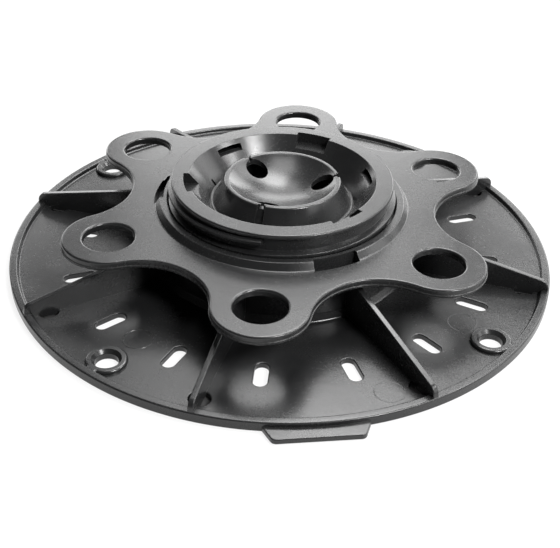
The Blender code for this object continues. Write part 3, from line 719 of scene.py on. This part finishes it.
def add_lugs(wheel):
    """Thread lugs inside the sleeve, one below each collar window."""
    lugs = bmesh.new()
    for centre in angles(WINDOW_COUNT, COLLAR_WINDOW_PHASE):
        middle_height = lug_height(centre)
        sections = []
        for index in range(LUG_STEPS + 1):
            offset = LUG_SPAN * (index / LUG_STEPS - 0.5)
            sections.append(lug_section(centre + offset, middle_height + THREAD_LEAD * offset / 360.0))
        skin(lugs, sections)
    combine(wheel, "UNION", lugs)


def make_wheel():
    """Six-lobed plate, then the collar with its sleeve, the windows and the lugs."""
    plate = bmesh.new()
    skin(plate, wheel_plate_sections())
    wheel = new_object("adjusting_wheel_shell", plate)
    cut_wheel_holes(wheel)
    combine(wheel, "UNION", turn(bmesh.new(), sleeve_profile(), WHEEL_SEGMENTS))
    cut_collar_windows(wheel)
    add_lugs(wheel)
    return wheel


# Threaded cup

def sphere_arc(radius, end_radius):
    """Arc of the ball seat from its lowest point out to a radius, as (radius, height) pairs."""
    lowest = -90.0
    swing = math.degrees(math.asin(end_radius / radius))
    return arc((0.0, SEAT_CENTRE_Z), radius, lowest, lowest + swing, SEAT_ARC_STEPS)


def socket_radius(z):
    """Radius of the funnel-shaped socket wall at a height."""
    return SOCKET_RADIUS - SOCKET_LEAN * (CUP_TOP - z)


def skirt_radius(z):
    """Radius of the skirt's outer face at a height."""
    top = SEAT_RIM_Z - SKIRT_TOP_DROP
    return SKIRT_TOP_RADIUS + SKIRT_FLARE * (top - z) / (top - TROUGH_Z)


def cup_profile():
    """Section of the cup: ball seat, skirt, trough, socket wall, top ring and threaded tube."""
    seat_slope = math.tan(math.asin(SEAT_EDGE_RADIUS / SEAT_SPHERE_RADIUS))
    rim_inside = SEAT_EDGE_RADIUS + (SEAT_EDGE_DROP - SEAT_RIM_DROP) / seat_slope
    rim_outside = skirt_radius(SEAT_RIM_Z)
    trough = (SKIRT_FOOT_RADIUS + TROUGH_FLOOR_WIDTH / 2, TROUGH_Z, TROUGH_ROUND)
    ring_foot = CUP_TOP - CUP_RING_EDGE - CUP_RING_UNDERCUT
    outer_half = rounded([
        (0.0, CUP_TOP - CUP_LID_THICKNESS, 0.0),
        (SEAT_EDGE_RADIUS, CUP_TOP - SEAT_EDGE_DROP, 0.0),
        (rim_inside, SEAT_RIM_Z, SEAT_RIM_ROUND),
        (rim_outside, SEAT_RIM_Z, SEAT_RIM_ROUND),
        trough,
        (SOCKET_RADIUS, CUP_TOP, SOCKET_ROUND),
        (CUP_RING_RADIUS, CUP_TOP, CUP_RING_ROUND),
        (CUP_RING_RADIUS, CUP_TOP - CUP_RING_EDGE, CUP_RING_FOOT_ROUND),
        (THREAD_ROOT_RADIUS, ring_foot, CUP_RING_ROUND),
        (THREAD_ROOT_RADIUS, CUP_BOTTOM, SLEEVE_ROUND),
        (CUP_TUBE_BORE, CUP_BOTTOM, SLEEVE_ROUND),
        (CUP_TUBE_BORE, CUP_TOP - CUP_LID_THICKNESS, SLEEVE_ROUND),
    ])[2:]
    seat = sphere_arc(SEAT_SPHERE_RADIUS, SEAT_EDGE_RADIUS)
    return seat + outer_half + cup_underside()


def cup_underside():
    """Inner half of the cup's section: behind the socket wall, under the trough and under the seat."""
    underside = TROUGH_Z - TROUGH_THICKNESS
    lid_z = CUP_TOP - CUP_LID_THICKNESS
    behind = SOCKET_WALL / math.cos(math.radians(SOCKET_TAPER))
    lean = skirt_radius(0.0) - skirt_radius(1.0)
    slanted_wall = SEAT_WALL * math.sqrt(1 + lean * lean)
    outer_seat = SEAT_SPHERE_RADIUS + SEAT_WALL
    inside_foot = Vector((skirt_radius(underside) - slanted_wall, underside))
    along = Vector((-lean, 1.0))
    away = inside_foot - Vector((0.0, SEAT_CENTRE_Z))
    half_b = along.dot(away) / along.length_squared
    rest = (away.length_squared - outer_seat ** 2) / along.length_squared
    apex = inside_foot + along * (-half_b - math.sqrt(half_b ** 2 - rest))
    hollow = [(socket_radius(lid_z) + behind, lid_z), (socket_radius(underside) + behind, underside)]
    return hollow + [tuple(inside_foot)] + sphere_arc(outer_seat, apex.x)[::-1]


def thread_section(degrees, height):
    """Section of the cup's thread at an angle, sunk into the tube wall, with a round crest."""
    root_half = THREAD_ROOT_WIDTH / 2
    crest_half = THREAD_CREST_WIDTH / 2
    slope = (root_half - crest_half) / THREAD_DEPTH
    sunk_half = root_half + slope * EMBED
    sunk_radius = THREAD_ROOT_RADIUS - EMBED
    shape = rounded([(sunk_radius, -sunk_half, 0.0), (THREAD_CREST_RADIUS, -crest_half, THREAD_CREST_ROUND),
                     (THREAD_CREST_RADIUS, crest_half, THREAD_CREST_ROUND), (sunk_radius, sunk_half, 0.0)])
    return [polar(radius, degrees, height + offset) for radius, offset in shape]


def recess_section(degrees):
    """Section of the pocket behind the socket wall that a recess is cut into."""
    floor = RECESS_FLOOR_Z - RECESS_FLOOR
    lid = CUP_TOP - CUP_LID_THICKNESS / 2
    sunk = SOCKET_WALL / 2
    outer = CUP_TUBE_BORE + EMBED
    shape = [(socket_radius(floor) + sunk, floor), (outer, floor), (outer, lid),
             (socket_radius(lid) + sunk, lid)]
    return [polar(radius, degrees, z) for radius, z in shape]


def add_skirt_groove(bm, degrees):
    """Shallow groove down the outside of the skirt, below a keyhole's notch."""
    foot = TROUGH_Z + TROUGH_ROUND
    high = SEAT_RIM_Z + OVERCUT
    clear = SKIRT_GROOVE_DEPTH + OVERCUT
    inner_low = skirt_radius(foot) - SKIRT_GROOVE_DEPTH
    inner_high = skirt_radius(high) - SKIRT_GROOVE_DEPTH
    outline = [(inner_low, foot), (inner_low + clear, foot), (inner_high + clear, high), (inner_high, high)]
    verts = prism(bm, outline, -SKIRT_GROOVE_WIDTH / 2, SKIRT_GROOVE_WIDTH / 2)
    stand_up(bm, verts)
    place(bm, verts, 0.0, degrees)


def add_box(bm, low, high, degrees):
    """Block between two corners, swung round Z."""
    outline = [(low[0], low[1]), (high[0], low[1]), (high[0], high[1]), (low[0], high[1])]
    place(bm, prism(bm, outline, low[2], high[2]), 0.0, degrees)


def add_recess_cutters(bm):
    """Recesses in the socket wall, open at the top."""
    inner = socket_radius(RECESS_FLOOR_Z) - OVERCUT
    for centre in angles(WINDOW_COUNT, RECESS_PHASE):
        outline = sector_outline(inner, RECESS_RADIUS, centre, RECESS_SPAN, WINDOW_STEPS)
        prism(bm, outline, RECESS_FLOOR_Z, CUP_TOP + OVERCUT)


def add_window_cutters(bm):
    """Windows through the socket wall, each with a keyhole on the same line."""
    sill = CUP_TOP - SOCKET_WINDOW_DROP
    inner = socket_radius(sill) - OVERCUT
    outer = CUP_TUBE_BORE - OVERCUT
    for centre in angles(WINDOW_COUNT, CUP_PHASE):
        outline = sector_outline(inner, outer, centre, SOCKET_WINDOW_SPAN, WINDOW_STEPS)
        prism(bm, outline, sill, sill + SOCKET_WINDOW_HEIGHT)
        hole = prism(bm, round_outline(KEYHOLE_RADIUS, HOLE_SEGMENTS), CUP_BOTTOM, CUP_TOP + OVERCUT)
        place(bm, hole, KEYHOLE_PITCH_RADIUS, centre)


def add_slit_cutter(bm):
    """Short drain slit through the trough's floor."""
    middle = SKIRT_FOOT_RADIUS + DRAIN_SLIT_INSET
    half_length = DRAIN_SLIT_LENGTH / 2
    half_width = DRAIN_SLIT_WIDTH / 2
    low = (middle - half_length, -half_width, CUP_BOTTOM)
    high = (middle + half_length, half_width, CUP_TOP - CUP_LID_THICKNESS)
    add_box(bm, low, high, CUP_PHASE + DRAIN_SLIT_OFFSET)


def cut_keyhole_notches(cup):
    """Narrow notch from each keyhole out through the seat's rim, with a groove below it on the skirt."""
    notches = bmesh.new()
    grooves = bmesh.new()
    half = KEYHOLE_NOTCH_WIDTH / 2
    low = (KEYHOLE_PITCH_RADIUS, -half, SEAT_RIM_Z - KEYHOLE_NOTCH_DEPTH)
    high = (SKIRT_TOP_RADIUS + OVERCUT, half, CUP_TOP + OVERCUT)
    for centre in angles(WINDOW_COUNT, CUP_PHASE):
        add_box(notches, low, high, centre)
        add_skirt_groove(grooves, centre)
    combine(cup, "DIFFERENCE", notches)
    combine(cup, "DIFFERENCE", grooves)


def add_pockets(cup):
    """Blocks behind the socket wall that leave each recess a wall and a floor."""
    pockets = bmesh.new()
    side = math.degrees(RECESS_WALL / RECESS_RADIUS)
    span = RECESS_SPAN + 2 * side
    for centre in angles(WINDOW_COUNT, RECESS_PHASE):
        low = centre - RECESS_SPAN / 2 - side
        turns = [low + span * index / WINDOW_STEPS for index in range(WINDOW_STEPS + 1)]
        skin(pockets, [recess_section(degrees) for degrees in turns])
    combine(cup, "UNION", pockets)


def add_thread(cup):
    """Thread on the tube, wound down from its upper end."""
    thread = bmesh.new()
    steps = int(360.0 * (THREAD_TOP_Z - THREAD_BOTTOM_Z) / THREAD_LEAD / THREAD_STEP)
    unwound = [-index * THREAD_STEP for index in range(steps + 1)]
    skin(thread, [thread_section(THREAD_TOP_ANGLE + swing, ridge_height(swing)) for swing in unwound])
    combine(cup, "UNION", thread)


def make_cup():
    """Cup in one turning, then the pockets, openings, notches and thread."""
    cup = new_object("threaded_cup_shell", turn(bmesh.new(), cup_profile(), CUP_SEGMENTS))
    add_pockets(cup)
    openings = bmesh.new()
    add_recess_cutters(openings)
    add_window_cutters(openings)
    add_slit_cutter(openings)
    combine(cup, "DIFFERENCE", openings)
    cut_keyhole_notches(cup)
    add_thread(cup)
    return cup


def smooth(made):
    """Smooth the rounded faces, keep real edges sharp and let the flat faces stay flat."""
    made.data.shade_smooth()
    made.data.set_sharp_from_angle(angle=math.radians(SHARP_ANGLE))
    weighted = made.modifiers.new("weighted", "WEIGHTED_NORMAL")
    weighted.keep_sharp = True
    settle(made)


def dress(made, node, body, finish):
    """Put a finished shell in place of its solid."""
    smooth(made)
    made.data.materials.clear()
    made.data.materials.append(finish)
    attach(made, body)
    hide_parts(node)


# Camera, material and light

def make_camera():
    """Camera at the photo's angle."""
    tilt = math.radians(CAMERA_TILT)
    pan = math.radians(CAMERA_PAN)
    roll = math.radians(CAMERA_ROLL)
    forward = Vector((math.sin(pan) * math.cos(tilt), math.cos(pan) * math.cos(tilt), -math.sin(tilt)))
    right = forward.cross(Vector((0, 0, 1))).normalized()
    up = right.cross(forward)
    turned_right = math.cos(roll) * right - math.sin(roll) * up
    turned_up = math.sin(roll) * right + math.cos(roll) * up
    data = bpy.data.cameras.new("camera")
    data.sensor_width = CAMERA_SENSOR
    data.lens = CAMERA_SENSOR * CAMERA_FOCAL_PIXELS / IMAGE_WIDTH
    data.clip_start = CAMERA_NEAREST
    camera = bpy.data.objects.new("camera", data)
    bpy.context.scene.collection.objects.link(camera)
    axes = Matrix((turned_right, turned_up, -forward)).transposed()
    camera.matrix_world = Matrix.Translation(CAMERA_PLACE) @ axes.to_4x4()
    bpy.context.scene.camera = camera


class Nodes:
    """Short way to add and join shader nodes."""

    def __init__(self, tree):
        self.tree = tree

    def add(self, kind, **settings):
        node = self.tree.nodes.new(kind)
        for name, value in settings.items():
            setattr(node, name, value)
        return node

    def join(self, output, socket):
        self.tree.links.new(output, socket)

    def noise(self, coordinates, scale, detail=4.0, roughness=0.5):
        node = self.add("ShaderNodeTexNoise")
        node.inputs["Scale"].default_value = scale
        node.inputs["Detail"].default_value = detail
        node.inputs["Roughness"].default_value = roughness
        self.join(coordinates, node.inputs["Vector"])
        return node.outputs["Fac"]

    def remap(self, value, low, high, to_low, to_high):
        node = self.add("ShaderNodeMapRange")
        node.inputs["From Min"].default_value = low
        node.inputs["From Max"].default_value = high
        node.inputs["To Min"].default_value = to_low
        node.inputs["To Max"].default_value = to_high
        self.join(value, node.inputs["Value"])
        return node.outputs["Result"]

    def math(self, operation, first, second=0.0):
        node = self.add("ShaderNodeMath", operation=operation)
        for socket, value in zip(node.inputs, (first, second)):
            if isinstance(value, (int, float)):
                socket.default_value = value
            else:
                self.join(value, socket)
        return node.outputs["Value"]

    def mix(self, factor, first, second):
        node = self.add("ShaderNodeMix", data_type="RGBA")
        for name, value in (("Factor_Float", factor), ("A_Color", first), ("B_Color", second)):
            socket = next(item for item in node.inputs if item.identifier == name)
            if isinstance(value, (int, float)):
                socket.default_value = value
            elif isinstance(value, tuple):
                socket.default_value = (*value, 1.0)
            else:
                self.join(value, socket)
        return next(item for item in node.outputs if item.identifier == "Result_Color")


# Plastic: its colours, and noises each as (scale, detail, roughness)
PLASTIC_DARK = (0.0110, 0.0112, 0.0115)
PLASTIC_LIGHT = (0.0190, 0.0192, 0.0195)
PLASTIC_WORN = (0.060, 0.060, 0.059)
BLOTCH_NOISE = (35.0, 3.0, 0.55)
FLOW_NOISE = (160.0, 4.0, 0.6)
SPECK_NOISE = (900.0, 5.0, 0.7)
GRAIN_NOISE = (2600.0, 3.0, 0.6)
TURNED_NOISE = (1400.0, 2.0, 0.5)
NOISE_RANGE = (0.3, 0.7)
NOISE_CORE = (0.35, 0.65)
BLOTCH_SHARE = 0.6

# Gloss and relief of the plastic
ROUGHNESS_RANGE = (0.21, 0.28)
ROUGHNESS_SPECKS = (-0.03, 0.04)
ROUGHNESS_WORN = 0.06
WORN_SPECKS = (0.25, 0.8)
GRAIN_DEPTH = 0.003 * MM
WAVE_DEPTH = 0.030 * MM
MARK_DEPTH = 0.010 * MM

# An edge is where a normal rounded over this width turns away from the face, as the cosine between them
EDGE_WIDTH = 0.35 * MM
EDGE_SAMPLES = 4
EDGE_STARTS = 0.97
EDGE_FULL = 0.80


def plastic_material(name, ring_marks):
    """Dark polypropylene: satin, finely grained, a little paler and duller where edges rub.

    ring_marks is the depth of the fine turned marks that the round parts of the mould leave.
    """
    made = bpy.data.materials.new(name)
    made.use_nodes = True
    nodes = Nodes(made.node_tree)
    shader = made.node_tree.nodes["Principled BSDF"]
    spot = nodes.add("ShaderNodeTexCoord").outputs["Object"]
    blotch = nodes.noise(spot, *BLOTCH_NOISE)
    flow = nodes.noise(spot, *FLOW_NOISE)
    grain = nodes.noise(spot, *GRAIN_NOISE)
    speck = nodes.noise(spot, *SPECK_NOISE)
    broad = nodes.remap(blotch, *NOISE_RANGE, 0.0, BLOTCH_SHARE)
    fine = nodes.remap(flow, *NOISE_RANGE, 0.0, 1.0 - BLOTCH_SHARE)
    colour = nodes.mix(nodes.math("ADD", broad, fine), PLASTIC_DARK, PLASTIC_LIGHT)
    worn = nodes.math("MULTIPLY", worn_edges(nodes), nodes.remap(speck, *NOISE_CORE, *WORN_SPECKS))
    nodes.join(nodes.mix(worn, colour, PLASTIC_WORN), shader.inputs["Base Color"])
    rough = nodes.remap(blotch, *NOISE_RANGE, *ROUGHNESS_RANGE)
    rough = nodes.math("ADD", rough, nodes.remap(speck, *NOISE_RANGE, *ROUGHNESS_SPECKS))
    rough = nodes.math("ADD", rough, nodes.math("MULTIPLY", worn, ROUGHNESS_WORN))
    nodes.join(rough, shader.inputs["Roughness"])
    height = nodes.math("MULTIPLY", grain, GRAIN_DEPTH)
    height = nodes.math("ADD", height, nodes.math("MULTIPLY", flow, WAVE_DEPTH))
    height = nodes.math("ADD", height, nodes.math("MULTIPLY", turned_marks(nodes, spot), ring_marks))
    bump = nodes.add("ShaderNodeBump")
    bump.inputs["Strength"].default_value = 1.0
    bump.inputs["Distance"].default_value = 1.0
    nodes.join(height, bump.inputs["Height"])
    nodes.join(bump.outputs["Normal"], shader.inputs["Normal"])
    return made


def worn_edges(nodes):
    """How near a point lies to a convex or concave edge, from 0 to 1."""
    bevel = nodes.add("ShaderNodeBevel", samples=EDGE_SAMPLES)
    bevel.inputs["Radius"].default_value = EDGE_WIDTH
    plain = nodes.add("ShaderNodeNewGeometry")
    dot = nodes.add("ShaderNodeVectorMath", operation="DOT_PRODUCT")
    nodes.join(bevel.outputs["Normal"], dot.inputs[0])
    nodes.join(plain.outputs["Normal"], dot.inputs[1])
    return nodes.remap(dot.outputs["Value"], EDGE_STARTS, EDGE_FULL, 0.0, 1.0)


def split_spot(nodes, spot):
    """X, Y and Z of a spot, and its distance from the upright axis."""
    parts = nodes.add("ShaderNodeSeparateXYZ")
    nodes.join(spot, parts.inputs["Vector"])
    x, y, z = (parts.outputs[name] for name in "XYZ")
    squares = nodes.math("ADD", nodes.math("MULTIPLY", x, x), nodes.math("MULTIPLY", y, y))
    return x, y, z, nodes.math("SQRT", squares)


def turned_marks(nodes, spot):
    """Fine rings round the axis, as left by a turned mould."""
    _, _, z, radius = split_spot(nodes, spot)
    flat = nodes.add("ShaderNodeCombineXYZ")
    nodes.join(radius, flat.inputs["X"])
    nodes.join(z, flat.inputs["Z"])
    return nodes.noise(flat.outputs["Vector"], *TURNED_NOISE)


def rib_foot_painted_shade(nodes):
    """1 on the floor under the holes at the rib feet, where deep shade is painted, and 0 elsewhere."""
    spot = nodes.add("ShaderNodeTexCoord").outputs["Object"]
    x, y, _, radius = split_spot(nodes, spot)
    swing = nodes.math("SUBTRACT", nodes.math("ARCTAN2", y, x), math.radians(RIB_PHASE))
    from_rib = nodes.math("PINGPONG", swing, math.pi / RIB_COUNT)
    beside = nodes.math("LESS_THAN", nodes.math("MULTIPLY", from_rib, radius), SHADE_HALF_WIDTH)
    outside = nodes.math("GREATER_THAN", radius, SHADE_INSIDE)
    inside = nodes.math("LESS_THAN", radius, SHADE_OUTSIDE)
    return nodes.math("MULTIPLY", beside, nodes.math("MULTIPLY", outside, inside))


def floor_material():
    """White floor that glows to the camera and still takes the object's shadow, with painted shade under the
    holes at the rib feet.
    """
    made = bpy.data.materials.new("white_floor")
    made.use_nodes = True
    nodes = Nodes(made.node_tree)
    made.node_tree.nodes.remove(made.node_tree.nodes["Principled BSDF"])
    path = nodes.add("ShaderNodeLightPath")
    seen = nodes.math("MAXIMUM", path.outputs["Is Camera Ray"], path.outputs["Is Glossy Ray"])
    seen = nodes.math("MAXIMUM", seen, path.outputs["Is Transmission Ray"])
    paint = nodes.add("ShaderNodeBsdfDiffuse")
    # Painted shade: dark floor colour and no glow under the holes at the rib feet
    shade = rib_foot_painted_shade(nodes)
    nodes.join(nodes.mix(shade, FLOOR_COLOUR, PAINTED_SHADE_COLOUR), paint.inputs["Color"])
    glow = nodes.add("ShaderNodeEmission")
    glow.inputs["Strength"].default_value = 1.0
    blend = nodes.add("ShaderNodeMixShader")
    seen = nodes.math("MULTIPLY", seen, nodes.math("SUBTRACT", 1.0, shade))
    nodes.join(nodes.math("MULTIPLY", seen, FLOOR_GLOW), blend.inputs["Fac"])
    nodes.join(paint.outputs["BSDF"], blend.inputs[1])
    nodes.join(glow.outputs["Emission"], blend.inputs[2])
    nodes.join(blend.outputs["Shader"], made.node_tree.nodes["Material Output"].inputs["Surface"])
    return made


def make_floor():
    """Flat floor just under the base plate."""
    half = FLOOR_SIZE / 2
    corners = [(-half, -half, -FLOOR_DROP), (half, -half, -FLOOR_DROP),
               (half, half, -FLOOR_DROP), (-half, half, -FLOOR_DROP)]
    mesh = bpy.data.meshes.new("floor")
    mesh.from_pydata(corners, [], [(0, 1, 2, 3)])
    mesh.materials.append(floor_material())
    floor = bpy.data.objects.new("floor", mesh)
    bpy.context.scene.collection.objects.link(floor)


def make_world():
    """Even grey studio light, white to the camera."""
    world = bpy.data.worlds.new("studio")
    world.use_nodes = True
    bpy.context.scene.world = world
    nodes = Nodes(world.node_tree)
    ground = world.node_tree.nodes["Background"]
    path = nodes.add("ShaderNodeLightPath")
    strength = nodes.remap(path.outputs["Is Camera Ray"], 0.0, 1.0, WORLD_STRENGTH, 1.0)
    nodes.join(strength, ground.inputs["Strength"])
    ground.inputs["Color"].default_value = (1.0, 1.0, 1.0, 1.0)


def add_softbox(name, azimuth, elevation, size, power):
    """Square area lamp on a sphere round the object, facing its middle."""
    data = bpy.data.lights.new(name, "AREA")
    data.shape = "SQUARE"
    data.size = size
    data.energy = power
    lamp = bpy.data.objects.new(name, data)
    bpy.context.scene.collection.objects.link(lamp)
    across = math.radians(azimuth)
    up = math.radians(elevation)
    away = Vector((math.cos(across) * math.cos(up), math.sin(across) * math.cos(up), math.sin(up)))
    axes = away.to_track_quat("Z", "Y").to_matrix().to_4x4()
    lamp.matrix_world = Matrix.Translation(away * LAMP_DISTANCE) @ axes


def make_lights():
    """Small keys on the right, fills above, and low boxes round the back that the top faces mirror."""
    for softbox in SOFTBOXES:
        add_softbox(*softbox)


make_camera()
make_floor()
make_world()
make_lights()
grained = plastic_material("moulded_plastic_grain", 0.0)
turned = plastic_material("moulded_plastic_turned", MARK_DEPTH)
dress(make_base_plate(), "base_plate", "base", grained)
dress(make_wheel(), "adjusting_wheel", "wheel", grained)
dress(make_cup(), "threaded_cup", "cup", turned)
bpy.context.scene.view_settings.view_transform = "Standard"
